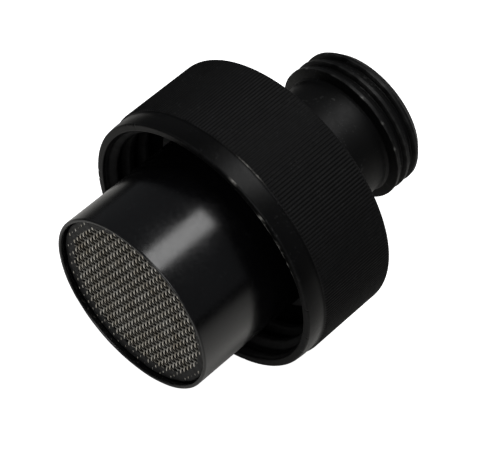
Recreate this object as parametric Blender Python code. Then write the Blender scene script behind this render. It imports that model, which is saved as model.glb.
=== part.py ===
"""Pneumatic muffler with a captive union nut and a ridged hose neck.

The muffler lies on its side, resting on the union nut, with its outlet screen
facing -Y and the neck's end face facing +Y. The origin is on the surface that
it lies on, under its middle.

Every piece is a separate object. The profiles below are (radius, height) pairs
in millimetres, spun about the muffler's own axis, and heights run from the
neck's end face towards the outlet screen. At the end all pieces are parented to
one empty, which lays that axis down along -Y.
"""
import math

import bmesh
import bpy
from mathutils import Matrix, Vector

for old in list(bpy.data.objects):
    bpy.data.objects.remove(old, do_unlink=True)

MM = 0.001
GAP = 0.3                      # clearance between neighbouring pieces

# ---------------------------------------------------------------- dimensions
LENGTH = 87.0                  # neck end face to barrel lip

# neck: a 40 mm hose spigot with three ridges, each steep towards the nut and
# sloping gently towards the neck's end
RIDGE_R = 20.0
RIDGE_ROOT_R = 18.5
RIDGE_EDGES = (2.9, 6.4, 9.9)  # heights of the ridges' steep edges
RIDGE_FLAT = 0.9
RIDGE_STEEP = 0.45
WAIST_R = 17.0
WAIST_START = 11.1             # the plain waist begins above the last ridge
NECK_BORE_R = 14.5
CORE_BORE_R = 12.0
STRAINER_LEDGE = 27.0          # where the neck's bore steps in

# hub flange and spigot, one moulding with the neck
FLANGE_R = 30.0
FLANGE_LOW = 39.3
FLANGE_TOP = 43.3
SPIGOT_R = 15.2
SPIGOT_TOP = 54.7
ORING_GROOVE = (47.0, 49.4)
ORING_GROOVE_R = 13.5
ORING_R = 14.45
ORING_SECTION_R = 0.8

# union nut
NUT_R = 37.5                   # over the knurl
NUT_BAND_R = 37.1              # plain band in front of the knurl
NUT_FRONT = 62.15
NUT_STEP = 56.35
NUT_REAR = 32.5
NUT_WEB = 3.25
NUT_HOLE_R = 20.6
NUT_MOUTH_R = 34.8
NUT_ROOT_R = 34.4
NUT_CREST_R = 32.6
NUT_PITCH = 5.8
NUT_CREST_Z = 53.95            # height of a crest at NUT_CREST_ANGLE
NUT_CREST_ANGLE = math.radians(180.2)
NUT_THREAD_LOW = 45.95
NUT_THREAD_TOP = 60.95
NUT_TRAVEL = 1.7

# slip washer and stop collar
WASHER_R = 31.0
WASHER_THICK = 1.2
COLLAR_R = 22.6
COLLAR_THICK = 1.7
COLLAR_GROOVE_R = 16.0

# muffler barrel
BARREL_R = 25.65
BARREL_SHOULDER = 47.5         # the drum runs back inside the nut, just clear of the gasket
BARREL_FLOOR = 3.0
LIP_R = 24.65                  # inside of the lip
BARREL_BORE_R = 23.9           # inside below the grid's ledge
GRID_LEDGE = 82.8
SHOULDER_ROUND = 3.2
BOSS_R = 19.0
BOSS_BORE_R = SPIGOT_R + GAP
POST_R = 1.9
POST_CIRCLE = 21.5
POST_TOP = 55.2
POST_HOLE_R = 1.0

# muffler pack
PACK_R = 23.5
BAFFLE_LOW = POST_TOP + GAP
BAFFLE_THICK = 0.8
SCREW_R = 0.7
SCREW_HEAD_R = 1.7
GRID_R = 24.3
GRID_LOW = GRID_LEDGE + GAP
GRID_THICK = 1.2
SCREEN_R = 23.1
SCREEN_LOW = 84.75
SCREEN_THICK = 0.6
BEZEL_LOW = 84.6
BEZEL_TOP = 86.1
BEZEL_LIP = 0.35
BEZEL_WINDOW_R = 21.75

SEG_LARGE = 48
SEG_NECK = 36
SEG_SMALL = 28


# ------------------------------------------------------------------ materials
def material(name, color, roughness, metallic=0.0):
    mat = bpy.data.materials.new(name)
    mat.use_nodes = True
    bsdf = mat.node_tree.nodes["Principled BSDF"]
    bsdf.inputs["Base Color"].default_value = (*color, 1.0)
    bsdf.inputs["Roughness"].default_value = roughness
    bsdf.inputs["Metallic"].default_value = metallic
    return mat


BLACK = (0.012, 0.012, 0.013)
CHARCOAL = (0.018, 0.018, 0.019)
RUBBER = (0.02, 0.02, 0.02)
STEEL = (0.42, 0.40, 0.37)
FELT = (0.55, 0.53, 0.48)
FIBRE = (0.30, 0.12, 0.07)


# ------------------------------------------------------------------ modelling
def finish(name, bm, mat, sharp=30.0):
    """Turn a bmesh into a named, smooth-shaded object."""
    bmesh.ops.remove_doubles(bm, verts=bm.verts, dist=1e-7)
    bmesh.ops.recalc_face_normals(bm, faces=bm.faces)
    mesh = bpy.data.meshes.new(name)
    bm.to_mesh(mesh)
    bm.free()
    mesh.shade_smooth()
    mesh.set_sharp_from_angle(angle=math.radians(sharp))
    obj = bpy.data.objects.new(name, mesh)
    bpy.context.scene.collection.objects.link(obj)
    if mat is not None:
        mesh.materials.append(mat)
    return obj


def turned_bmesh(loop, seg, sweep=360.0, start=0.0):
    """Spin a closed (r, z) loop about Z. Edges on the axis are left out."""
    bm = bmesh.new()
    verts = [bm.verts.new((r * MM, 0.0, z * MM)) for r, z in loop]
    edges = []
    for a, b in zip(range(len(loop)), list(range(1, len(loop))) + [0]):
        if loop[a][0] == 0.0 and loop[b][0] == 0.0:
            continue
        edges.append(bm.edges.new((verts[a], verts[b])))
    whole = sweep >= 360.0
    if start:
        bmesh.ops.rotate(bm, verts=bm.verts, cent=(0, 0, 0),
                         matrix=Matrix.Rotation(math.radians(start), 3, "Z"))
    bmesh.ops.spin(bm, geom=verts + edges, cent=(0, 0, 0), axis=(0, 0, 1),
                   angle=math.radians(sweep), steps=seg, use_merge=whole)
    bmesh.ops.remove_doubles(bm, verts=bm.verts, dist=1e-7)
    if not whole:
        rim = [e for e in bm.edges if e.is_boundary]
        bmesh.ops.holes_fill(bm, edges=rim, sides=0)
    return bm


def turned(name, loop, mat, seg=SEG_SMALL, **kw):
    return finish(name, turned_bmesh(loop, seg, **kw), mat)


def box_loop(r0, r1, z0, z1, c=0.0):
    """Rectangular section, with its outer corners cut by c."""
    if c <= 0.0:
        return [(r0, z0), (r1, z0), (r1, z1), (r0, z1)]
    return [(r0, z0), (r1 - c, z0), (r1, z0 + c), (r1, z1 - c), (r1 - c, z1), (r0, z1)]


def arc(cx, cz, radius, a0, a1, steps):
    """Points on an arc in the profile plane, angles in degrees."""
    out = []
    for i in range(steps + 1):
        a = math.radians(a0 + (a1 - a0) * i / steps)
        out.append((cx + radius * math.cos(a), cz + radius * math.sin(a)))
    return out


def spaced(lo, hi, count):
    return [lo + (hi - lo) * i / count for i in range(count + 1)]


def smooth(t):
    t = max(0.0, min(1.0, t))
    return t * t * (3.0 - 2.0 * t)


def prisms(name, outlines, z0, z1):
    """Closed vertical prisms from outlines of (x, y) points, for cutting."""
    bm = bmesh.new()
    for outline in outlines:
        low = [bm.verts.new((x * MM, y * MM, z0 * MM)) for x, y in outline]
        face = bm.faces.new(low)
        top = bmesh.ops.extrude_face_region(bm, geom=[face])["geom"]
        moved = [g for g in top if isinstance(g, bmesh.types.BMVert)]
        bmesh.ops.translate(bm, verts=moved, vec=Vector((0, 0, (z1 - z0) * MM)))
    obj = finish(name, bm, None)
    obj.hide_render = True
    obj.display_type = "WIRE"
    return obj


def circle(cx, cy, r, n, turn=0.0):
    return [(cx + r * math.cos(turn + 2 * math.pi * i / n),
             cy + r * math.sin(turn + 2 * math.pi * i / n)) for i in range(n)]


def boolean(obj, cutter, operation="DIFFERENCE"):
    mod = obj.modifiers.new(operation.lower(), "BOOLEAN")
    mod.operation = operation
    mod.solver = "EXACT"
    mod.object = cutter


# -------------------------------------------------------------- neck connector
loop = [(NECK_BORE_R, 0.0), (RIDGE_ROOT_R - 0.3, 0.0), (RIDGE_ROOT_R + 0.1, 0.4)]
for edge in RIDGE_EDGES:
    loop += [(RIDGE_R, edge - RIDGE_FLAT), (RIDGE_R, edge)]
    if edge != RIDGE_EDGES[-1]:
        loop.append((RIDGE_ROOT_R, edge + RIDGE_STEEP))
loop += [(WAIST_R + 0.5, WAIST_START - 0.5), (WAIST_R, WAIST_START)]
groove_top = NUT_REAR
groove_low = NUT_REAR - GAP - COLLAR_THICK - GAP
loop += [(WAIST_R, groove_low), (COLLAR_GROOVE_R, groove_low),
         (COLLAR_GROOVE_R, groove_top), (WAIST_R, groove_top)]
loop += [(WAIST_R, FLANGE_LOW - 1.5)]
loop += arc(WAIST_R + 1.5, FLANGE_LOW - 1.5, 1.5, 180.0, 90.0, 2)[1:]
loop += [(FLANGE_R - 0.6, FLANGE_LOW), (FLANGE_R, FLANGE_LOW + 0.6),
         (FLANGE_R, FLANGE_TOP), (SPIGOT_R, FLANGE_TOP),
         (SPIGOT_R, ORING_GROOVE[0]), (ORING_GROOVE_R, ORING_GROOVE[0]),
         (ORING_GROOVE_R, ORING_GROOVE[1]), (SPIGOT_R, ORING_GROOVE[1]),
         (SPIGOT_R, SPIGOT_TOP - 0.6), (SPIGOT_R - 0.6, SPIGOT_TOP),
         (CORE_BORE_R, SPIGOT_TOP), (CORE_BORE_R, STRAINER_LEDGE),
         (NECK_BORE_R, STRAINER_LEDGE)]
clip_groove_top = STRAINER_LEDGE - GAP - 0.8
clip_groove_low = clip_groove_top - 1.6
loop += [(NECK_BORE_R, clip_groove_top), (NECK_BORE_R + 0.7, clip_groove_top),
         (NECK_BORE_R + 0.7, clip_groove_low), (NECK_BORE_R, clip_groove_low)]
bm = turned_bmesh(loop, SEG_NECK)
finish("neck_connector", bm, material("neck_plastic", BLACK, 0.42), sharp=40.0)

# ------------------------------------------------------------- nut stop collar
turned("nut_stop_collar",
       box_loop(COLLAR_GROOVE_R + GAP, COLLAR_R, groove_low + GAP,
                groove_low + GAP + COLLAR_THICK, 0.3),
       material("collar_plastic", CHARCOAL, 0.5), sweep=336.0, start=102.0)

# ----------------------------------------------------------------- slip washer
washer_low = NUT_REAR + NUT_WEB + GAP
turned("slip_washer",
       box_loop(NUT_HOLE_R, WASHER_R, washer_low, washer_low + WASHER_THICK),
       material("washer_plastic", (0.6, 0.6, 0.57), 0.4))


# ------------------------------------------------------------------- union nut
def nut_bore(z, angle):
    """Inside radius of the nut's coarse thread."""
    turn = (angle - NUT_CREST_ANGLE) / (2 * math.pi)
    phase = (z - NUT_CREST_Z) / NUT_PITCH - turn
    off = 2.0 * abs(phase - round(phase))          # 0 on a crest, 1 in a root
    ridge = smooth((0.72 - off) / 0.5)
    ridge *= smooth((NUT_THREAD_TOP - z) / 2.0) * smooth((z - NUT_THREAD_LOW) / 2.0)
    return NUT_ROOT_R - (NUT_ROOT_R - NUT_CREST_R) * ridge


# a flat facet, and not a corner, faces down, and the facets' middles lie at NUT_R
rows = spaced(NUT_THREAD_LOW, NUT_THREAD_TOP, 11)
edge = 1.3
outer = NUT_R / math.cos(math.pi / SEG_LARGE)
loop = [(NUT_HOLE_R, NUT_REAR)]
loop += arc(outer - edge, NUT_REAR + edge, edge, -90.0, 0.0, 2)
loop += [(outer, NUT_STEP), (NUT_BAND_R, NUT_STEP + 0.3), (NUT_BAND_R, NUT_FRONT - 0.5),
         (NUT_BAND_R - 0.5, NUT_FRONT), (NUT_MOUTH_R, NUT_FRONT),
         (NUT_ROOT_R, NUT_FRONT - 0.6)]
loop += [(NUT_ROOT_R, z) for z in reversed(rows)]
loop += [(NUT_ROOT_R, NUT_REAR + NUT_WEB + 1.5)]
loop += arc(NUT_ROOT_R - 1.5, NUT_REAR + NUT_WEB + 1.5, 1.5, 0.0, -90.0, 2)[1:]
loop += [(NUT_HOLE_R, NUT_REAR + NUT_WEB)]
bm = turned_bmesh(loop, SEG_LARGE, start=180.0 / SEG_LARGE)
for v in bm.verts:
    z = v.co.z / MM
    r = math.hypot(v.co.x, v.co.y) / MM
    if NUT_THREAD_LOW - 1e-3 <= z <= NUT_THREAD_TOP + 1e-3 and r < NUT_ROOT_R + 1.0:
        angle = math.atan2(v.co.y, v.co.x)
        new = nut_bore(z, angle)
        v.co.x, v.co.y = new * MM * math.cos(angle), new * MM * math.sin(angle)
finish("union_nut", bm, material("nut_plastic", CHARCOAL, 0.55), sharp=40.0)

# ------------------------------------------------------------------- hub seals
turned("flange_gasket", box_loop(26.2, FLANGE_R - 0.2, FLANGE_TOP + GAP, FLANGE_TOP + GAP + 2.0),
       material("gasket_rubber", RUBBER, 0.7))
oring_z = 0.5 * (ORING_GROOVE[0] + ORING_GROOVE[1])
turned("hub_o_ring", arc(ORING_R, oring_z, ORING_SECTION_R, 0.0, 360.0, 6)[:-1],
       material("o_ring_rubber", RUBBER, 0.6))

# --------------------------------------------------------------- muffler barrel
floor_top = BARREL_SHOULDER + BARREL_FLOOR
loop = [(BOSS_BORE_R, FLANGE_TOP + GAP), (BOSS_R, FLANGE_TOP + GAP),
        (BOSS_R, BARREL_SHOULDER - 1.2)]
loop += arc(BOSS_R + 1.2, BARREL_SHOULDER - 1.2, 1.2, 180.0, 90.0, 2)[1:]
loop += arc(BARREL_R - SHOULDER_ROUND, BARREL_SHOULDER + SHOULDER_ROUND,
            SHOULDER_ROUND, -90.0, 0.0, 3)
loop += [(BARREL_R, LENGTH - 0.25), (BARREL_R - 0.25, LENGTH), (LIP_R, LENGTH),
         (LIP_R, GRID_LEDGE), (BARREL_BORE_R, GRID_LEDGE), (BARREL_BORE_R, floor_top),
         (BOSS_BORE_R, floor_top)]
barrel = turned("muffler_barrel", loop, material("barrel_plastic", BLACK, 0.28), seg=SEG_LARGE)
post_angles = [math.radians(a) for a in (30.0, 150.0, 270.0)]
post_spots = [(POST_CIRCLE * math.cos(a), POST_CIRCLE * math.sin(a)) for a in post_angles]
posts = prisms("post_add", [circle(x, y, POST_R, 12) for x, y in post_spots],
               floor_top - 0.8, POST_TOP)
boolean(barrel, posts, "UNION")
post_holes = prisms("post_holes", [circle(x, y, POST_HOLE_R, 8) for x, y in post_spots],
                    floor_top + 0.7, POST_TOP + 1.0)
boolean(barrel, post_holes)

# ------------------------------------------------------- clamp inside the barrel
turned("boss_washer", box_loop(BOSS_BORE_R, 17.9, floor_top + GAP, floor_top + GAP + 0.8),
       material("washer_fibre", FIBRE, 0.8))
lock_low = floor_top + 2 * GAP + 0.8
lock = turned("lock_ring", box_loop(BOSS_BORE_R, 17.9, lock_low, SPIGOT_TOP, 0.3),
              material("lock_ring_plastic", CHARCOAL, 0.45))
slots = []
for k in range(4):
    turn = Matrix.Rotation(math.pi / 2 * k + math.pi / 4, 2)
    slots.append([tuple(turn @ Vector(p)) for p in
                  ((14.6, -1.2), (19.0, -1.2), (19.0, 1.2), (14.6, 1.2))])
boolean(lock, prisms("lock_ring_slots", slots, SPIGOT_TOP - 1.4, SPIGOT_TOP + 1.0))

# ------------------------------------------------------------------ muffler pack
rear = turned("rear_absorber", box_loop(17.9 + 0.4, PACK_R, floor_top + GAP, POST_TOP - 0.4),
              material("rear_felt", FELT, 0.95))
boolean(rear, prisms("rear_absorber_notches",
                     [circle(x, y, POST_R + 0.35, 12) for x, y in post_spots],
                     floor_top - 1.0, POST_TOP + 1.0))

plate = turned("baffle_plate",
               [(0.0, BAFFLE_LOW), (PACK_R, BAFFLE_LOW),
                (PACK_R, BAFFLE_LOW + BAFFLE_THICK), (0.0, BAFFLE_LOW + BAFFLE_THICK)],
               material("baffle_steel", STEEL, 0.4, 1.0))
holes = [circle(x, y, POST_HOLE_R, 8) for x, y in post_spots]
for ring_r, count in ((9.0, 8), (15.0, 14)):
    for k in range(count):
        a = 2 * math.pi * (k + 0.5) / count
        holes.append(circle(ring_r * math.cos(a), ring_r * math.sin(a), 1.7, 8))
boolean(plate, prisms("baffle_holes", holes, BAFFLE_LOW - 1.0, BAFFLE_LOW + 2.0))

plate_top = BAFFLE_LOW + BAFFLE_THICK
screw_mat = material("screw_steel", STEEL, 0.35, 1.0)
for k, (x, y) in enumerate(post_spots, 1):
    loop = [(0.0, plate_top - 4.6), (SCREW_R, plate_top - 4.2), (SCREW_R, plate_top + GAP),
            (SCREW_HEAD_R, plate_top + GAP), (SCREW_HEAD_R, plate_top + GAP + 0.5),
            (SCREW_HEAD_R - 0.5, plate_top + GAP + 0.9), (0.0, plate_top + GAP + 0.9)]
    screw = turned("baffle_screw_%d" % k, loop, screw_mat, seg=12)
    screw.location = (x * MM, y * MM, 0.0)

front_low = plate_top + GAP + 0.9 + GAP
turned("front_absorber",
       [(0.0, front_low), (PACK_R, front_low), (PACK_R, 81.8), (0.0, 81.8)],
       material("front_felt", FELT, 0.95))
turned("absorber_scrim", [(0.0, 82.1), (PACK_R, 82.1), (PACK_R, 82.5), (0.0, 82.5)],
       material("scrim_fleece", (0.06, 0.06, 0.06), 0.9))

grid = turned("support_grid",
              [(0.0, GRID_LOW), (GRID_R, GRID_LOW),
               (GRID_R, GRID_LOW + GRID_THICK), (0.0, GRID_LOW + GRID_THICK)],
              material("grid_plastic", BLACK, 0.5))
windows = []
for r0, r1, count in ((4.5, 11.6, 6), (13.2, 21.2, 12)):
    half = math.pi / count
    for k in range(count):
        mid = 2 * math.pi * (k + 0.5) / count
        inner, outer = [], []
        for i in range(5):
            t = -1.0 + 0.5 * i
            a0 = mid + t * (half - 0.8 / r0)
            a1 = mid + t * (half - 0.8 / r1)
            inner.append((r0 * math.cos(a0), r0 * math.sin(a0)))
            outer.append((r1 * math.cos(a1), r1 * math.sin(a1)))
        windows.append(inner + outer[::-1])
boolean(grid, prisms("grid_windows", windows, GRID_LOW - 1.0, GRID_LOW + 3.0))

turned("outlet_screen",
       [(0.0, SCREEN_LOW), (SCREEN_R, SCREEN_LOW),
        (SCREEN_R, SCREEN_LOW + SCREEN_THICK), (0.0, SCREEN_LOW + SCREEN_THICK)],
       material("screen_wire", STEEL, 0.35, 1.0))
turned("screen_bezel",
       [(SCREEN_R + GAP, BEZEL_LOW), (GRID_R, BEZEL_LOW), (GRID_R, BEZEL_TOP),
        (BEZEL_WINDOW_R, BEZEL_TOP), (BEZEL_WINDOW_R, BEZEL_TOP - BEZEL_LIP),
        (SCREEN_R + GAP, BEZEL_TOP - BEZEL_LIP)],
       material("bezel_plastic", BLACK, 0.45), seg=SEG_LARGE)

# --------------------------------------------------------- strainer in the neck
strainer_top = STRAINER_LEDGE - GAP
turned("inlet_screen",
       [(0.0, strainer_top - 0.6), (NECK_BORE_R - GAP, strainer_top - 0.6),
        (NECK_BORE_R - GAP, strainer_top), (0.0, strainer_top)],
       material("strainer_wire", STEEL, 0.35, 1.0))
turned("inlet_screen_clip",
       box_loop(NECK_BORE_R - 1.2, NECK_BORE_R + 0.4, clip_groove_low + GAP,
                clip_groove_top - GAP),
       material("clip_steel", STEEL, 0.3, 1.0), sweep=330.0, start=15.0)

# ------------------------------------------------- lay the muffler on its side
axis = bpy.data.objects.new("muffler_axis", None)
axis.rotation_euler = (math.pi / 2, 0.0, 0.0)
axis.location = (0.0, LENGTH / 2 * MM, NUT_R * MM)
bpy.context.scene.collection.objects.link(axis)
for piece in list(bpy.data.objects):
    if piece is not axis:
        piece.parent = axis
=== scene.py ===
import math

import bmesh
import bpy
import numpy as np
from mathutils import Matrix, Vector


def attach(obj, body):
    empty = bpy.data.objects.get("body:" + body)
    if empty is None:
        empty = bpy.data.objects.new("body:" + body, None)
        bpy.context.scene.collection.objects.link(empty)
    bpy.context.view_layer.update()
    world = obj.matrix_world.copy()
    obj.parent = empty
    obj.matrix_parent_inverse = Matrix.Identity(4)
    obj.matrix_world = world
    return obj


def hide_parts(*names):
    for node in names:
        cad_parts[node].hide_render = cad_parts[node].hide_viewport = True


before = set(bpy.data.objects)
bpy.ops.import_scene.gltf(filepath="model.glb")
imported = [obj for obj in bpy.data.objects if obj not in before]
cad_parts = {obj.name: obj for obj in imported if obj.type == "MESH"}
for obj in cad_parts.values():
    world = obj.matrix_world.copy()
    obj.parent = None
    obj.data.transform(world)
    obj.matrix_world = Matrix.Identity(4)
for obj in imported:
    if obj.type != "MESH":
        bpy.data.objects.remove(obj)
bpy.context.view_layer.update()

RNG = np.random.default_rng(11)

# Shapes are worked out in millimetres about the muffler's own axis: x to the
# right, y up, z from the neck's end face towards the outlet screen.
LENGTH = 87.0
AXIS_HEIGHT = 37.5


def to_frame(p):
    p = np.asarray(p, float)
    return np.c_[p[:, 0], LENGTH / 2 - p[:, 2], p[:, 1] + AXIS_HEIGHT] * 0.001


# --------------------------------------------------------------------- meshes
def make(name, verts, faces, mat, body, nodes=(), sharp=35.0, slot=None, **layers):
    """A smooth-shaded piece in the row frame that stands for the given CAD nodes."""
    mesh = bpy.data.meshes.new(name)
    mesh.from_pydata(to_frame(verts).tolist(), [], [list(f) for f in faces])
    bm = bmesh.new()
    bm.from_mesh(mesh)
    bmesh.ops.recalc_face_normals(bm, faces=bm.faces)
    bm.to_mesh(mesh)
    bm.free()
    mesh.shade_smooth()
    mesh.set_sharp_from_angle(angle=math.radians(sharp))
    for key, values in layers.items():          # wear and painted highlight, knurl, flash and painted highlight
        layer = mesh.attributes.new(key, "FLOAT", "POINT")
        layer.data.foreach_set("value", np.asarray(values, np.float32))
    mesh.materials.append(mat)
    obj = bpy.data.objects.new(name, mesh)
    bpy.context.scene.collection.objects.link(obj)
    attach(obj, body)
    if nodes:
        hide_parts(*nodes)
    return obj


def rings(rows, cols, closed=True, start=0):
    """Quads between neighbouring rings of a rows x cols grid."""
    i = np.arange(rows if closed else rows - 1)[:, None]
    j = np.arange(cols)[None, :]
    k = (i + 1) % rows
    quads = np.stack([i * cols + j, i * cols + (j + 1) % cols,
                      k * cols + (j + 1) % cols, k * cols + j], -1)
    return (quads.reshape(-1, 4) + start).tolist()


def ring_points(r, z, cols, turn=0.0):
    """Points of r and z arrays shaped (rows, cols) or (rows,)."""
    th = turn + 2 * math.pi * np.arange(cols) / cols
    r = np.broadcast_to(np.asarray(r, float).reshape(len(r), -1), (len(r), cols))
    z = np.broadcast_to(np.asarray(z, float).reshape(len(z), -1), (len(z), cols))
    return np.stack([r * np.cos(th), r * np.sin(th), z], -1).reshape(-1, 3)


def fillet(points, radius=0.25, n=4, closed=True):
    """A (r, z) loop with its corners rounded and support points beside each one."""
    out = []
    m = len(points)
    for k in range(m):
        p = np.array(points[k], float)
        if not closed and k in (0, m - 1):
            out.append(tuple(p))
            continue
        a, b = np.array(points[k - 1], float), np.array(points[(k + 1) % m], float)
        rad = radius[k] if hasattr(radius, "__len__") else radius
        u, v = a - p, b - p
        lu, lv = np.linalg.norm(u), np.linalg.norm(v)
        u, v = u / lu, v / lv
        ang = math.acos(max(-1.0, min(1.0, float(u @ v))))
        if rad <= 0 or ang > math.radians(165):
            out.append(tuple(p))
            continue
        t = min(rad / math.tan(ang / 2), 0.42 * lu, 0.42 * lv)
        r = t * math.tan(ang / 2)
        c = p + (u + v) / np.linalg.norm(u + v) * (r / math.sin(ang / 2))
        s, e = p + u * t - c, p + v * t - c
        a0 = math.atan2(s[1], s[0])
        d = (math.atan2(e[1], e[0]) - a0 + math.pi) % (2 * math.pi) - math.pi
        out.append(tuple(p + u * (t + min(0.25, 0.1 * (lu - t)))))
        out += [(c[0] + r * math.cos(a0 + d * i / n), c[1] + r * math.sin(a0 + d * i / n))
                for i in range(n + 1)]
        out.append(tuple(p + v * (t + min(0.25, 0.1 * (lv - t)))))
    return out


def turned(name, loop, mat, body, nodes=(), cols=224, sweep=360.0, start=0.0, **kw):
    """A closed turned piece from a closed (r, z) loop, or a part turn with end caps."""
    r, z = np.array(loop, float).T
    if sweep >= 360.0:
        return make(name, ring_points(r, z, cols), rings(len(r), cols), mat, body, nodes, **kw)
    th = np.radians(start + sweep * np.arange(cols + 1) / cols)
    verts = np.stack([np.outer(np.cos(th), r), np.outer(np.sin(th), r),
                      np.outer(np.ones_like(th), z)], -1).reshape(-1, 3)
    m = len(r)
    i = np.arange(cols)[:, None]
    j = np.arange(m)[None, :]
    quads = np.stack([i * m + j, i * m + (j + 1) % m, (i + 1) * m + (j + 1) % m,
                      (i + 1) * m + j], -1).reshape(-1, 4).tolist()
    quads += [list(range(m)), list(range(cols * m, cols * m + m))]
    return make(name, verts, quads, mat, body, nodes, **kw)


def box_loop(r0, r1, z0, z1):
    return [(r0, z0), (r1, z0), (r1, z1), (r0, z1)]


def smooth(t):
    t = np.clip(t, 0.0, 1.0)
    return t * t * (3 - 2 * t)


def bump_noise(x, y, seed, waves=10, low=0.6, high=3.0):
    """Soft repeatable noise, about -1 to 1."""
    g = np.random.default_rng(seed)
    out = np.zeros(np.broadcast(x, y).shape)
    for _ in range(waves):
        f = g.uniform(low, high)
        a, p = g.uniform(0, 2 * math.pi, 2)
        out = out + np.sin(f * (x * math.cos(a) + y * math.sin(a)) + p)
    return out / math.sqrt(waves)


# ------------------------------------------------------------------ materials
def nodes_of(name):
    mat = bpy.data.materials.new(name)
    mat.use_nodes = True
    tree = mat.node_tree
    bsdf = tree.nodes["Principled BSDF"]
    coord = tree.nodes.new("ShaderNodeTexCoord")
    return mat, tree, bsdf, coord.outputs["Object"]


def noise(tree, vec, scale, detail=2.0, rough=0.5, stretch=None):
    n = tree.nodes.new("ShaderNodeTexNoise")
    n.inputs["Scale"].default_value = scale
    n.inputs["Detail"].default_value = detail
    n.inputs["Roughness"].default_value = rough
    if stretch:
        m = tree.nodes.new("ShaderNodeMapping")
        m.inputs["Scale"].default_value = stretch
        tree.links.new(vec, m.inputs["Vector"])
        vec = m.outputs["Vector"]
    tree.links.new(vec, n.inputs["Vector"])
    return n.outputs["Fac"]


def remap(tree, fac, a, b, c, d):
    m = tree.nodes.new("ShaderNodeMapRange")
    for key, value in zip(("From Min", "From Max", "To Min", "To Max"), (a, b, c, d)):
        m.inputs[key].default_value = value
    tree.links.new(fac, m.inputs["Value"])
    return m.outputs["Result"]


def mixed(tree, fac, a, b):
    """Colour a where fac is 0 and b where it is 1; either may be a socket."""
    m = tree.nodes.new("ShaderNodeMix")
    m.data_type = "RGBA"
    for socket, value in ((m.inputs[6], a), (m.inputs[7], b)):
        if isinstance(value, tuple):
            socket.default_value = (*value, 1.0)
        else:
            tree.links.new(value, socket)
    tree.links.new(fac, m.inputs[0])
    return m.outputs[2]


def bumped(tree, bsdf, layers):
    """Bump layers of (height socket, strength, distance in metres)."""
    normal = None
    for height, strength, distance in layers:
        b = tree.nodes.new("ShaderNodeBump")
        b.inputs["Strength"].default_value = strength
        b.inputs["Distance"].default_value = distance
        tree.links.new(height, b.inputs["Height"])
        if normal:
            tree.links.new(normal, b.inputs["Normal"])
        normal = b.outputs["Normal"]
    tree.links.new(normal, bsdf.inputs["Normal"])


def moulded(name, color, rough, grain=0.25, pale=(0.05, 0.05, 0.052), dust=0.35,
            specular=0.5, wave=0.00002, wear=0.0, flow=False, coat=0.0, rougher=0.0,
            flash=None):
    """Moulded black plastic: fine grain, faint sink waves, cloudy polish and dust."""
    mat, tree, bsdf, vec = nodes_of(name)
    cloud = noise(tree, vec, 70.0, 3.0)
    fine = noise(tree, vec, 5200.0, 2.0, 0.6)
    shade = remap(tree, cloud, 0.3, 0.7, 0.0, 1.0)
    col = mixed(tree, shade, tuple(c * 0.8 for c in color), tuple(c * 1.25 for c in color))
    specks = noise(tree, vec, 1500.0, 0.0)
    patch = noise(tree, vec, 190.0, 1.0)
    add = tree.nodes.new("ShaderNodeMath")
    add.operation = "MULTIPLY"
    tree.links.new(remap(tree, specks, 0.66, 0.74, 0.0, 1.0), add.inputs[0])
    tree.links.new(remap(tree, patch, 0.5, 0.68, 0.0, dust), add.inputs[1])
    col = mixed(tree, add.outputs[0], col, tuple(min(1.0, c * 3) for c in pale))
    # paler where the wear-and-highlight layer is set: worn edges, and painted highlights on the
    # nut's rib crests and the neck's ridge edges
    if wear > 0.0:
        attr = tree.nodes.new("ShaderNodeAttribute")
        attr.attribute_name = "wear"
        broken = tree.nodes.new("ShaderNodeMath")
        broken.operation = "MULTIPLY"
        tree.links.new(attr.outputs["Fac"], broken.inputs[0])
        tree.links.new(remap(tree, noise(tree, vec, 420.0, 3.0), 0.35, 0.65, 0.25 * wear, wear),
                       broken.inputs[1])
        col = mixed(tree, broken.outputs[0], col, pale)
    if flash:                      # torn and chipped edges of mould flash, paler than the skin of the moulding, and painted highlights and glints
        attr = tree.nodes.new("ShaderNodeAttribute")
        attr.attribute_name = "flash"
        torn = tree.nodes.new("ShaderNodeMath")
        torn.operation = "MULTIPLY"
        tree.links.new(attr.outputs["Fac"], torn.inputs[0])
        tree.links.new(remap(tree, noise(tree, vec, 1100.0, 3.0), 0.35, 0.6, 0.2, 1.0),
                       torn.inputs[1])
        col = mixed(tree, torn.outputs[0], col, flash)
    tree.links.new(col, bsdf.inputs["Base Color"])
    rough_map = tree.nodes.new("ShaderNodeMath")
    rough_map.operation = "ADD"
    tree.links.new(remap(tree, cloud, 0.25, 0.75, rough - 0.04, rough + 0.05), rough_map.inputs[0])
    tree.links.new(remap(tree, noise(tree, vec, 900.0, 3.0), 0.3, 0.7, -0.03, 0.04),
                   rough_map.inputs[1])
    rough_out = rough_map.outputs[0]
    if rougher:                    # the knurled part is rougher than the plain band
        attr = tree.nodes.new("ShaderNodeAttribute")
        attr.attribute_name = "knurl"
        more = tree.nodes.new("ShaderNodeMath")
        more.operation = "MULTIPLY_ADD"
        more.inputs[1].default_value = rougher
        tree.links.new(attr.outputs["Fac"], more.inputs[0])
        tree.links.new(rough_out, more.inputs[2])
        rough_out = more.outputs[0]
    tree.links.new(rough_out, bsdf.inputs["Roughness"])
    bsdf.inputs["Specular IOR Level"].default_value = specular
    if coat:
        bsdf.inputs["Coat Weight"].default_value = coat
        bsdf.inputs["Coat Roughness"].default_value = 0.15
    layers = [(noise(tree, vec, 130.0, 1.0), 0.6, wave), (fine, grain, 0.00003)]
    if flow:
        layers.insert(0, (noise(tree, vec, 500.0, 2.0, 0.5, (1.0, 0.08, 1.0)), 0.35, 0.00002))
    bumped(tree, bsdf, layers)
    return mat


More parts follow.
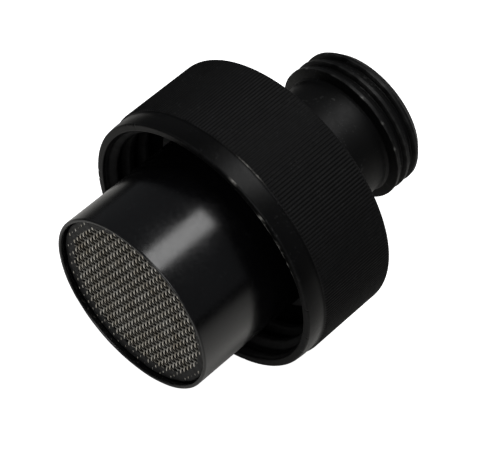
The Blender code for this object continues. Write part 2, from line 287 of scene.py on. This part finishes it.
def steel(name, color, rough, streak=(1.0, 1.0, 1.0), scale=2600.0, metallic=1.0, soil=0.0):
    """Drawn or rolled stainless steel with fine streaks and slight tarnish."""
    mat, tree, bsdf, vec = nodes_of(name)
    tarnish = remap(tree, noise(tree, vec, 240.0, 3.0), 0.35, 0.7, 0.0, 1.0)
    col = mixed(tree, tarnish, color, tuple(c * k for c, k in zip(color, (0.62, 0.58, 0.52))))
    if soil:                       # painted shade: darker in the hollows of the weave and on the second family of wires
        attr = tree.nodes.new("ShaderNodeAttribute")
        attr.attribute_name = "soil"
        shade_amount = tree.nodes.new("ShaderNodeMath")
        shade_amount.operation = "MULTIPLY"
        shade_amount.inputs[1].default_value = soil
        tree.links.new(attr.outputs["Fac"], shade_amount.inputs[0])
        col = mixed(tree, shade_amount.outputs[0], col, (0.03, 0.029, 0.026))
    tree.links.new(col, bsdf.inputs["Base Color"])
    bsdf.inputs["Metallic"].default_value = metallic
    grain = noise(tree, vec, scale, 3.0, 0.6, streak)
    tree.links.new(remap(tree, grain, 0.3, 0.7, rough - 0.07, rough + 0.09),
                   bsdf.inputs["Roughness"])
    bumped(tree, bsdf, [(grain, 0.35, 0.00001)])
    return mat


def fibrous(name, color, dark, scale=1800.0, height=0.00025, rough=0.95):
    """Felt or fleece: tangled fibres with small pits."""
    mat, tree, bsdf, vec = nodes_of(name)
    strands = noise(tree, vec, scale, 6.0, 0.7, (1.0, 0.35, 1.0))
    clumps = noise(tree, vec, scale * 0.12, 3.0)
    both = tree.nodes.new("ShaderNodeMath")
    both.operation = "MULTIPLY"
    tree.links.new(remap(tree, strands, 0.3, 0.7, 0.0, 1.0), both.inputs[0])
    tree.links.new(remap(tree, clumps, 0.3, 0.7, 0.5, 1.0), both.inputs[1])
    tree.links.new(mixed(tree, both.outputs[0], dark, color), bsdf.inputs["Base Color"])
    tree.links.new(remap(tree, strands, 0.3, 0.7, rough, rough - 0.15), bsdf.inputs["Roughness"])
    bsdf.inputs["Sheen Weight"].default_value = 0.15
    bumped(tree, bsdf, [(strands, 0.8, height)])
    return mat


NECK = moulded("neck_satin_black", (0.0044, 0.0044, 0.0045), 0.46, grain=0.2, wear=0.8,
               dust=0.15, specular=0.12, pale=(0.04, 0.04, 0.039), flash=(0.2, 0.2, 0.19))
NUT = moulded("nut_matt_charcoal", (0.0032, 0.0032, 0.0033), 0.32, grain=0.3, wear=0.8,
              dust=0.12, pale=(0.02, 0.02, 0.0203), specular=0.09, rougher=0.32,
              flash=(0.42, 0.41, 0.38))
BARREL = moulded("barrel_semi_gloss", (0.0022, 0.0022, 0.0026), 0.2, grain=0.04, dust=0.06,
                 wear=0.3, pale=(0.03, 0.03, 0.032))
BEZEL = moulded("bezel_matt_black", (0.006, 0.006, 0.0064), 0.48, grain=0.6, dust=0.3,
                specular=0.28)
COLLAR = moulded("collar_matt_black", (0.015, 0.015, 0.016), 0.5, grain=0.35)
SLIP = moulded("slip_washer_natural", (0.42, 0.41, 0.37), 0.45, grain=0.3,
               pale=(0.25, 0.23, 0.2), dust=0.2)
RUBBER = moulded("seal_rubber_black", (0.014, 0.014, 0.014), 0.68, grain=0.6,
                 pale=(0.06, 0.06, 0.06), dust=0.6, specular=0.4)
FIBRE = fibrous("washer_red_fibre", (0.28, 0.09, 0.05), (0.13, 0.035, 0.02), 2400.0, 0.00008, 0.8)
FELT = fibrous("absorber_pale_felt", (0.5, 0.47, 0.4), (0.22, 0.2, 0.17), 1500.0)
FLEECE = fibrous("scrim_dark_fleece", (0.03, 0.03, 0.031), (0.006, 0.006, 0.006), 2600.0, 0.0001)
PLATE = steel("baffle_rolled_steel", (0.5, 0.48, 0.45), 0.38, (1.0, 1.0, 0.06))
# the screen wire carries painted shade in the hollows of the weave and on its second family of
# wires
WIRE = steel("screen_drawn_wire", (0.94, 0.915, 0.85), 0.32, scale=3200.0, soil=0.74)
SCREW = steel("clip_bright_steel", (0.5, 0.48, 0.45), 0.3, scale=2200.0)

# carried-over CAD nodes: each keeps its shape and gets its finish here
for node, mat in {
    "boss_washer": FIBRE, "lock_ring": COLLAR, "rear_absorber": FELT, "baffle_plate": PLATE,
    "baffle_screw_1": SCREW, "baffle_screw_2": SCREW, "baffle_screw_3": SCREW,
    "front_absorber": FELT, "absorber_scrim": FLEECE, "support_grid": BEZEL,
}.items():
    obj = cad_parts[node]
    if not obj.material_slots:
        obj.data.materials.append(mat)
    for s in obj.material_slots:
        s.material = mat

# -------------------------------------------------------------- neck connector
# Three ridges, steep towards the nut, with crisp edges and gentle slopes behind.
COLS = 320
th = 2 * math.pi * np.arange(COLS) / COLS
profile = [(17.4, 0.0), (18.25, 0.0), (18.65, 0.45)]
radii = [0, 0.15, 0.4]
for edge in (2.9, 6.4, 9.9):
    profile += [(20.0, edge - 0.9), (20.0, edge)]
    radii += [0.35, 0.12]
    if edge < 9.0:
        profile.append((18.5, edge + 0.45))
        radii.append(0.25)
profile += [(17.45, 10.55), (17.0, 11.2), (17.0, 17.0)]
radii += [0.3, 1.2, 0]
ridges = fillet(profile, radii, 5, closed=False)
tail = [(17.0, 23.0), (17.0, 29.9), (17.0, 30.2), (16.0, 30.2), (16.0, 32.5),
        (17.0, 32.5), (17.0, 32.8), (17.0, 37.8)]
tail += [(18.5 - 1.5 * math.cos(a), 37.8 + 1.5 * math.sin(a))
         for a in np.linspace(0, math.pi / 2, 5)[1:]]
tail += fillet([(18.5, 39.3), (30.0, 39.3), (30.0, 43.3), (15.2, 43.3), (15.2, 47.0),
                (13.5, 47.0), (13.5, 49.4), (15.2, 49.4), (15.2, 54.7), (12.0, 54.7),
                (12.0, 27.0), (14.5, 27.0), (14.5, 25.9), (15.2, 25.9), (15.2, 24.3),
                (14.5, 24.3), (14.5, 23.4)],
               [0, 0.5, 0.3, 0.1, 0.1, 0.1, 0.1, 0.1, 0.5, 0.3, 0.15, 0.1, 0.1, 0.1, 0.1, 0.1, 0],
               3, closed=False)[1:]
tail += [(14.5, 12.0), (14.5, 0.9), (14.56, 0.45), (14.75, 0.15), (15.1, 0.0), (16.2, 0.0)]
loop = np.array(ridges + tail)
r_all = np.repeat(loop[:, :1], COLS, 1)
z_all = np.repeat(loop[:, 1:], COLS, 1)
# the edges are a little uneven; the ridge edges are painted pale all round, part wear and part
# painted highlight, and the ridge edge nearest the nut gets small painted glints at seven angles
outside = (r_all > 16.5) & (z_all < 12.0)
edge_at = np.min(np.abs(z_all[..., None] - np.array([2.9, 6.4, 9.9])), -1)
on_edge = np.exp(-(edge_at / 0.22) ** 2) * (r_all > 19.75)
uneven = bump_noise(14 * np.cos(th), 14 * np.sin(th), 41)[None, :]
r_all = r_all - outside * (0.02 + 0.02 * uneven).clip(0, 1) * smooth((r_all - 18.6) / 1.2)
wear = (on_edge * (0.75 + 0.35 * uneven)).clip(0, 1).ravel()
specks = np.zeros(COLS)
for centre in np.radians([24.0, 47.0, 71.0, 128.0, 196.0, 251.0, 318.0]):
    away = (th - centre + math.pi) % (2 * math.pi) - math.pi
    specks += np.exp(-(away / 0.022) ** 2)
torn = (on_edge * (z_all > 8.0) * specks[None, :]).clip(0, 1).ravel()
make("neck_connector_skin", ring_points(r_all, z_all, COLS), rings(len(r_all), COLS), NECK,
     "muffler_core", ("neck_connector",), slot="neck_plastic", wear=wear, flash=torn, sharp=50.0)

# ------------------------------------------------------------------- union nut
REAR, STEP, FRONT = 32.5, 56.35, 62.15
RIBS, PER_RIB, FEW = 250, 6, 500
MANY = RIBS * PER_RIB
th = 2 * math.pi * np.arange(MANY) / MANY
rib = (0.5 + 0.5 * np.cos(RIBS * th)) ** 0.8
depth = 0.19 * (1.0 + 0.12 * bump_noise(6 * np.cos(th), 6 * np.sin(th), 3))

outer_r, outer_z, outer_w, outer_f = [], [], [], []


def outer_row(r, z, w=0.0, f=0.0):
    outer_r.append(np.broadcast_to(r, (MANY,)).copy())
    outer_z.append(np.broadcast_to(z, (MANY,)).copy())
    outer_w.append(np.broadcast_to(w, (MANY,)).copy())
    outer_f.append(np.broadcast_to(f, (MANY,)).copy())


# small nicks from handling
nick = np.zeros(MANY)
for centre in RNG.uniform(0, 2 * math.pi, 26):
    width = RNG.uniform(0.004, 0.013)
    size = RNG.uniform(0.25, 1.0)
    away = (th - centre + math.pi) % (2 * math.pi) - math.pi
    nick += size * np.exp(-(away / width) ** 2)
nick = np.clip(nick, 0, 1.2)
# mould flash left on one stretch of the mouth's edge, with two bigger chips
deg = np.degrees(th)
torn = smooth((deg - 22.0) / 10.0) * smooth((66.0 - deg) / 12.0)
torn = torn * (0.35 + 0.35 * bump_noise(30 * np.cos(th), 30 * np.sin(th), 51, 14, 0.6, 4.0))
chips = sum(size * np.exp(-(((deg - at) / wide) ** 2))
            for at, wide, size in ((54.3, 0.9, 1.0), (52.0, 0.5, 0.6), (41.5, 0.8, 1.0),
                                   (43.6, 0.5, 0.7), (38.6, 0.4, 0.6)))
torn = np.clip(torn + chips, 0.0, 1.0)
# painted highlight along the knurl step's edge, between 62 and 80 degrees
painted_step_highlight = smooth((deg - 62.0) / 7.0) * smooth((80.0 - deg) / 6.0)
painted_step_highlight = painted_step_highlight * (0.5 + 0.1 * bump_noise(30 * np.cos(th), 30 * np.sin(th), 57, 14, 0.6, 4.0))
# painted highlight: a small pale spot on the rim's rounding at about 72 degrees
painted_rim_highlight = np.exp(-(((deg - 72.0) / 1.6) ** 2))

# rear face and the rounding onto the knurl; the ribs fade in over the rounding
outer_row(35.4, REAR)
outer_row(35.9, REAR)
# the rib crests here and along the knurl are painted paler: part wear, part painted highlight on
# the crests
for a in np.radians(np.linspace(-90.0, 0.0, 9)):
    fade = smooth((math.degrees(a) + 75.0) / 60.0)
    outer_row(36.2 + 1.3 * math.cos(a) - depth * (1 - rib) * fade,
              REAR + 1.3 + 1.3 * math.sin(a), (0.03 + 0.15 * rib) * fade)
for z in np.linspace(REAR + 1.9, STEP - 0.35, 9):
    outer_row(37.5 - depth * (1 - rib), z, 0.03 + 0.15 * rib)
# blunt front ends of the ribs, then the step down to the plain band
outer_row(37.46 - depth * (1 - rib), STEP - 0.12, 0.1 + 0.4 * rib)
# the step's edge is pale all round and carries the painted highlight between 62 and 80 degrees
outer_row(37.34 - 0.8 * depth * (1 - rib), STEP + 0.02, 1.0, painted_step_highlight)
outer_row(37.14, STEP + 0.12, 0.6, painted_step_highlight)
outer_row(37.02, STEP + 0.2, 0.0)
for t in np.linspace(0.03, 0.92, 12):
    z = STEP + 0.25 + (FRONT - STEP - 0.25) * t
    outer_row(37.05 - 0.22 * ((t - 0.45) / 0.5) ** 2 + 0.03, z)
# rounded rim and the inner edge of the mouth
# the rim's rounding carries the painted highlight at about 72 degrees
for a in np.radians(np.linspace(8.0, 90.0, 7)):
    outer_row(36.42 + 0.5 * math.cos(a) - 0.10 * nick * math.sin(a),
              FRONT - 0.5 + 0.5 * math.sin(a) - 0.16 * nick, 0.35 + 0.65 * np.clip(nick, 0, 1),
              0.45 * painted_rim_highlight)
speck = np.exp(-(((deg - 54.6) / 1.2) ** 2))
outer_row(36.1, FRONT - 0.02, 0.1, speck)
outer_row(35.3, FRONT - 0.02, 0.0, np.maximum(speck, 0.4 * chips).clip(0, 1))
for a in np.radians(np.linspace(90.0, 180.0, 5)):
    outer_row(35.1 + 0.3 * math.cos(a) - 0.12 * torn * math.sin(a),
              FRONT - 0.32 + 0.3 * math.sin(a) - 0.1 * chips.clip(0, 1) * math.sin(a), 0.2, torn)
n_outer = len(outer_r)

tf = 2 * math.pi * np.arange(FEW) / FEW
zt = np.linspace(60.95, 45.95, 64)
phase = (zt[:, None] - 53.95) / 5.8 - (tf[None, :] - math.radians(180.2)) / (2 * math.pi)
off = 2.0 * np.abs(phase - np.round(phase))
crest = smooth((0.72 - off) / 0.5)
crest = crest * (smooth((60.95 - zt) / 2.0) * smooth((zt - 45.95) / 2.0))[:, None]
inner_r = [np.full(FEW, 34.75), np.full(FEW, 34.5)] + list(34.4 - 1.8 * crest)
inner_z = [np.full(FEW, FRONT - 0.7), np.full(FEW, FRONT - 0.95)] + [np.full(FEW, z) for z in zt]
inner_w = [np.full(FEW, 0.5)] * 2 + list(0.5 + 0.25 * smooth((crest - 0.8) / 0.2))
inner_loop = [(34.4, 45.0), (34.4, 37.6)]
inner_loop += [(32.9 + 1.5 * math.cos(a), 37.25 - 1.5 * math.sin(a))
               for a in np.linspace(0, math.pi / 2, 7)]
inner_loop += fillet([(32.0, 35.75), (20.6, 35.75), (20.6, REAR), (34.6, REAR)], 0.35, 4,
                     closed=False)
for r, z in inner_loop:
    inner_r.append(np.full(FEW, r))
    inner_z.append(np.full(FEW, z))
    inner_w.append(np.full(FEW, 0.5))
n_inner = len(inner_r)

verts = np.vstack([ring_points(np.array(outer_r), np.array(outer_z), MANY),
                   ring_points(np.array(inner_r), np.array(inner_z), FEW)])
base = n_outer * MANY
faces = rings(n_outer, MANY, closed=False) + rings(n_inner, FEW, closed=False, start=base)
ratio = MANY // FEW


def stitch(fine, coarse):
    """Faces between a ring of MANY vertices and a ring of FEW."""
    out = []
    for i in range(FEW):
        a = [fine + (ratio * i + k) % MANY for k in range(ratio + 1)]
        b0, b1 = coarse + i, coarse + (i + 1) % FEW
        out += [[a[0], a[1], b0], [a[1], a[2], b1, b0], [a[2], a[3], b1]]
    return out


faces += stitch((n_outer - 1) * MANY, base)
faces += stitch(0, base + (n_inner - 1) * FEW)
wear = np.concatenate([np.array(outer_w).ravel(), np.array(inner_w).ravel()])
rough_r = np.array(outer_z) < STEP + 0.05
knurl = np.concatenate([rough_r.ravel().astype(float), np.full(n_inner * FEW, 0.5)])
flash = np.concatenate([np.array(outer_f).ravel(), np.zeros(n_inner * FEW)])
make("union_nut_skin", verts, faces, NUT, "nut", ("union_nut",), slot="nut_plastic", wear=wear,
     knurl=knurl, flash=flash, sharp=60.0)

# ------------------------------------------------- washer, collar, hub and seals
turned("slip_washer_skin", fillet(box_loop(20.6, 31.0, 36.05, 37.25), 0.2), SLIP, "slip_ring",
       ("slip_washer",), slot="slip_plastic")
turned("nut_stop_collar_skin", fillet(box_loop(16.3, 22.6, 30.5, 32.2), 0.3), COLLAR,
       "muffler_core", ("nut_stop_collar",), cols=200, sweep=336.0, start=102.0,
       slot="collar_plastic")
turned("flange_gasket_skin", fillet(box_loop(26.2, 29.8, 43.6, 45.6), 0.35), RUBBER,
       "muffler_core", ("flange_gasket",), slot="seal_rubber")
turned("hub_o_ring_skin", [(14.45 + 0.8 * math.cos(a), 48.2 + 0.8 * math.sin(a))
                           for a in np.linspace(0, 2 * math.pi, 21)[:-1]], RUBBER,
       "muffler_core", ("hub_o_ring",), slot="seal_rubber")
turned("inlet_screen_clip_skin", fillet(box_loop(13.3, 14.9, 24.6, 25.6), 0.3), SCREW,
       "muffler_core", ("inlet_screen_clip",), cols=160, sweep=330.0, start=15.0,
       slot="screw_steel")

# -------------------------------------------------------------- muffler barrel
loop = [(15.5, 43.6), (19.0, 43.6), (19.0, 47.5), (25.65, 47.5), (25.65, 87.0), (24.65, 87.0),
        (24.65, 82.8), (23.9, 82.8), (23.9, 50.5), (15.5, 50.5)]
loop = fillet(loop, [0.25, 0.3, 1.2, 3.2, 0.42, 0.35, 0.1, 0.2, 0.4, 0.3], 10)
r, z = np.array(loop).T
COLS = 288
th = 2 * math.pi * np.arange(COLS) / COLS
rr = np.repeat(r[:, None], COLS, 1)
zz = np.repeat(z[:, None], COLS, 1)
# the thin lip isn't perfectly even
on_lip = smooth((zz - 86.3) / 0.6)
rr += on_lip * 0.025 * bump_noise(5 * np.cos(th), 5 * np.sin(th), 5)[None, :]
zz -= on_lip * (0.04 + 0.04 * bump_noise(9 * np.cos(th), 9 * np.sin(th), 8)[None, :]).clip(0, 1)
lip_wear = (smooth((zz - 86.55) / 0.3) * smooth((rr - 24.8) / 0.2)
            * (0.6 + 0.4 * bump_noise(20 * np.cos(th), 20 * np.sin(th), 9)[None, :])).clip(0, 1)
verts = [ring_points(rr, zz, COLS)]
faces = rings(len(r), COLS)
wears = [lip_wear.ravel()]
count = len(r) * COLS
# three screw posts stand on the barrel's floor
post = fillet([(1.0, 55.2), (1.9, 55.2), (1.9, 50.1)], [0, 0.2, 0], 3, closed=False)
post = [(0.02, 51.3), (1.0, 51.3)] + post + [(0.02, 50.1)]
for angle in (30.0, 150.0, 270.0):
    p = ring_points(np.array([q[0] for q in post]), np.array([q[1] for q in post]), 32)
    p[:, 0] += 21.5 * math.cos(math.radians(angle))
    p[:, 1] += 21.5 * math.sin(math.radians(angle))
    verts.append(p)
    faces += rings(len(post), 32, start=count)
    wears.append(np.zeros(len(p)))
    count += len(p)
make("muffler_barrel_skin", np.vstack(verts), faces, BARREL, "muffler_core",
     ("muffler_barrel",), slot="barrel_plastic", wear=np.concatenate(wears))


# --------------------------------------------------------------- woven screens
def weave(name, rad, z_mid, wire_r, run_a, run_b, shift, mat, node, crimp=None, steps=6,
          sides=8, start_angle=0.0):
    """Plain-woven round screen: wires along run_a cross wires along run_b."""
    crimp = crimp or wire_r * 1.02
    run = [np.array(run_a, float), np.array(run_b, float)]
    grid = np.array(run).T
    inverse = np.linalg.inv(grid)
    reach = int(rad / min(np.linalg.norm(run[0]), np.linalg.norm(run[1]))) + 3
    verts, faces, soil, count = [], [], [], 0
    g = np.random.default_rng(23)
    for family in (0, 1):
        along, across = run[family], run[1 - family]
        for k in range(-reach, reach + 1):
            origin = np.array(shift) + across * k
            # the stretch of this wire inside the circle
            a, b, c = along @ along, 2 * origin @ along, origin @ origin - rad ** 2
            disc = b * b - 4 * a * c
            if disc <= 0:
                continue
            t0, t1 = (-b - math.sqrt(disc)) / (2 * a), (-b + math.sqrt(disc)) / (2 * a)
            if t1 - t0 < 0.4:
                continue
            n = max(4, int((t1 - t0) * steps))
            t = np.linspace(t0, t1, n + 1)
            sign = 1 if (k % 2 == 0) == (family == 0) else -1
            wobble = 0.03 * np.sin(0.45 * t + g.uniform(0, 6.28)) * g.uniform(0.2, 1.0)
            side = np.array([-along[1], along[0]]) / np.linalg.norm(along)
            xy = origin[None, :] + along[None, :] * t[:, None] + side[None, :] * wobble[:, None]
            # the wires of the first family bend more, and stand prouder
            bend = crimp * (1.3 if family == 0 else 0.7)
            wave = sign * bend * np.cos(math.pi * t)
            wave = wave * (1.0 - 0.12 * np.cos(2 * math.pi * t)) * g.uniform(0.96, 1.04)
            dz = np.gradient(wave, t)
            step = np.linalg.norm(along)
            tangent = np.c_[np.repeat((along / step)[None, :], n + 1, 0), dz / step]
            tangent /= np.linalg.norm(tangent, axis=1)[:, None]
            u = np.r_[side, 0.0]
            v = np.cross(tangent, u)
            phi = 2 * math.pi * np.arange(sides) / sides
            centre = np.c_[xy, z_mid + wave]
            ring = (centre[:, None, :] + wire_r * (np.cos(phi)[None, :, None] * u[None, None, :]
                    + np.sin(phi)[None, :, None] * v[:, None, :]))
            verts.append(ring.reshape(-1, 3))
            # painted shade: darker where the wire lies low in the weave, and darker all along the
            # second family
            high = (ring[..., 2] - z_mid) / (1.3 * crimp + wire_r)
            soil.append((smooth((0.85 - high) / 0.9) * (0.8 if family == 0 else 1.0)
                         + (0.0 if family == 0 else 0.45)).clip(0, 1).ravel())
            faces += rings(n + 1, sides, closed=False, start=count)
            faces.append([count + i for i in range(sides)])
            faces.append([count + n * sides + i for i in range(sides)])
            count += (n + 1) * sides
    return make(name, np.vstack(verts), faces, mat, "muffler_core", (node,),
                slot="screen_wire", soil=np.concatenate(soil), sharp=50.0)


SCREEN_Z = 85.12
weave("outlet_screen_weave", 24.05, SCREEN_Z, 0.215, (-0.163, 1.682), (-1.352, -0.175),
      (0.3, 0.2), WIRE, "outlet_screen")
weave("inlet_screen_weave", 14.1, 26.45, 0.11, (0.0, 0.72), (0.72, 0.0), (0.1, 0.2), WIRE,
      "inlet_screen", steps=5, sides=6)

# The margin is almost level with the tops of the wires, which show through it.
COLS, ROWS = 360, 16
th = 2 * math.pi * np.arange(COLS) / COLS
rad = np.linspace(21.75, 24.2, ROWS)[:, None]
x, y = rad * np.cos(th)[None, :], rad * np.sin(th)[None, :]
side = 0.5 + 0.5 * np.cos(th - math.radians(215.0))[None, :]
top = SCREEN_Z + 0.46 - 0.07 * side + 0.05 * bump_noise(x, y, 31, 14, 0.5, 2.4)
top -= 0.14 * smooth((22.35 - rad) / 0.6) + 0.0 * x
edge = 0.10 * bump_noise(21.75 * np.cos(th) * 0.6, 21.75 * np.sin(th) * 0.6, 37, 12, 0.8, 3.0)
rr = np.repeat(rad, COLS, 1)
# the window is cut a little off centre
wide = (0.5 + 0.5 * np.cos(th - math.radians(238.0))) ** 1.5
rr = rr + (edge - 0.95 * wide)[None, :] * smooth((23.6 - rr) / 1.85)
rr = np.vstack([rr, np.full((1, COLS), 24.3), np.full((1, COLS), 24.3),
                np.full((1, COLS), 22.0), rr[:1] + 0.03])
zz = np.vstack([top, top[-1:] - 0.1, np.full((1, COLS), 84.6), np.full((1, COLS), 84.6),
                np.full((1, COLS), 84.9)])
make("screen_bezel_skin", ring_points(rr, zz, COLS), rings(len(rr), COLS), BEZEL,
     "muffler_core", ("screen_bezel",), slot="bezel_plastic", sharp=50.0)

# ---------------------------------------------------------- floor, light, camera
mat, tree, bsdf, vec = nodes_of("studio_floor")
bsdf.inputs["Base Color"].default_value = (0.9, 0.9, 0.9, 1.0)
bsdf.inputs["Roughness"].default_value = 0.9
bsdf.inputs["Emission Color"].default_value = (1.0, 1.0, 1.0, 1.0)
bsdf.inputs["Emission Strength"].default_value = 0.94
# for light bouncing off the floor, its colour is a painted pool of light: pale near the object,
# dark beyond about 0.3 m
painted_light_pool = tree.nodes.new("ShaderNodeBsdfDiffuse")
away = tree.nodes.new("ShaderNodeVectorMath")
away.operation = "LENGTH"
tree.links.new(vec, away.inputs[0])
tree.links.new(mixed(tree, remap(tree, away.outputs["Value"], 0.04, 0.30, 0.0, 1.0),
                     (0.84, 0.825, 0.79), (0.05, 0.05, 0.048)), painted_light_pool.inputs["Color"])
path = tree.nodes.new("ShaderNodeLightPath")
both = tree.nodes.new("ShaderNodeMixShader")
tree.links.new(path.outputs["Is Camera Ray"], both.inputs[0])
tree.links.new(painted_light_pool.outputs[0], both.inputs[1])
tree.links.new(bsdf.outputs[0], both.inputs[2])
tree.links.new(both.outputs[0], tree.nodes["Material Output"].inputs["Surface"])
mesh = bpy.data.meshes.new("studio_floor")
size = 3.0
mesh.from_pydata([(-size, -size, 0), (size, -size, 0), (size, size, 0), (-size, size, 0)], [],
                 [(0, 1, 2, 3)])
mesh.materials.append(mat)
floor = bpy.data.objects.new("studio_floor", mesh)
bpy.context.scene.collection.objects.link(floor)

world = bpy.data.worlds.new("studio")
bpy.context.scene.world = world
world.use_nodes = True
wt = world.node_tree
bg = wt.nodes["Background"]
bg.inputs["Color"].default_value = (0.93, 0.96, 1.0, 1.0)
bg.inputs["Strength"].default_value = 0.12
pale = wt.nodes.new("ShaderNodeBackground")
pale.inputs["Color"].default_value = (1.0, 1.0, 1.0, 1.0)
pale.inputs["Strength"].default_value = 1.0
path = wt.nodes.new("ShaderNodeLightPath")
blend = wt.nodes.new("ShaderNodeMixShader")
wt.links.new(path.outputs["Is Camera Ray"], blend.inputs[0])
wt.links.new(bg.outputs[0], blend.inputs[1])
wt.links.new(pale.outputs[0], blend.inputs[2])
wt.links.new(blend.outputs[0], wt.nodes["World Output"].inputs["Surface"])


def softbox(name, target, direction, distance, width, height, radiance, color=(1, 1, 1),
            along=(0.0, 1.0, 0.0)):
    """A rectangular area light of a given radiance, its height side along the given axis."""
    data = bpy.data.lights.new(name, "AREA")
    data.shape = "RECTANGLE"
    data.size, data.size_y = width, height
    data.energy = radiance * width * height * math.pi
    data.color = color
    obj = bpy.data.objects.new(name, data)
    bpy.context.scene.collection.objects.link(obj)
    d = Vector(direction).normalized()
    y_axis = (Vector(along) - d * Vector(along).dot(d)).normalized()
    x_axis = y_axis.cross(d)
    m = Matrix((x_axis, y_axis, d)).transposed().to_4x4()
    m.translation = Vector(target) + d * distance
    obj.matrix_world = m
    return obj


softbox("key_softbox", (0.0, -0.03, 0.055), (0.136, 0.455, 0.880), 0.8, 0.31, 1.0, 5.4)
softbox("front_fill", (0.0, -0.03, 0.03), (0.25, -0.85, 0.55), 0.9, 0.5, 0.5, 3.0,
        along=(1.0, 0.0, 0.0))

camera_data = bpy.data.cameras.new("camera")
camera_data.lens = 172.76
camera_data.sensor_width = 36.0
camera_data.clip_start = 0.01
camera = bpy.data.objects.new("camera", camera_data)
bpy.context.scene.collection.objects.link(camera)
right, up, back = (Vector((0.7268, 0.6868, 0.0)), Vector((-0.5358, 0.5672, 0.6253)),
                   Vector((0.4293, -0.4547, 0.7803)))
m = Matrix((right, up, back)).transposed().to_4x4()
m.translation = Vector((0.26507, -0.28122, 0.50889))
camera.matrix_world = m
bpy.context.scene.camera = camera
bpy.context.scene.view_settings.view_transform = "Standard"
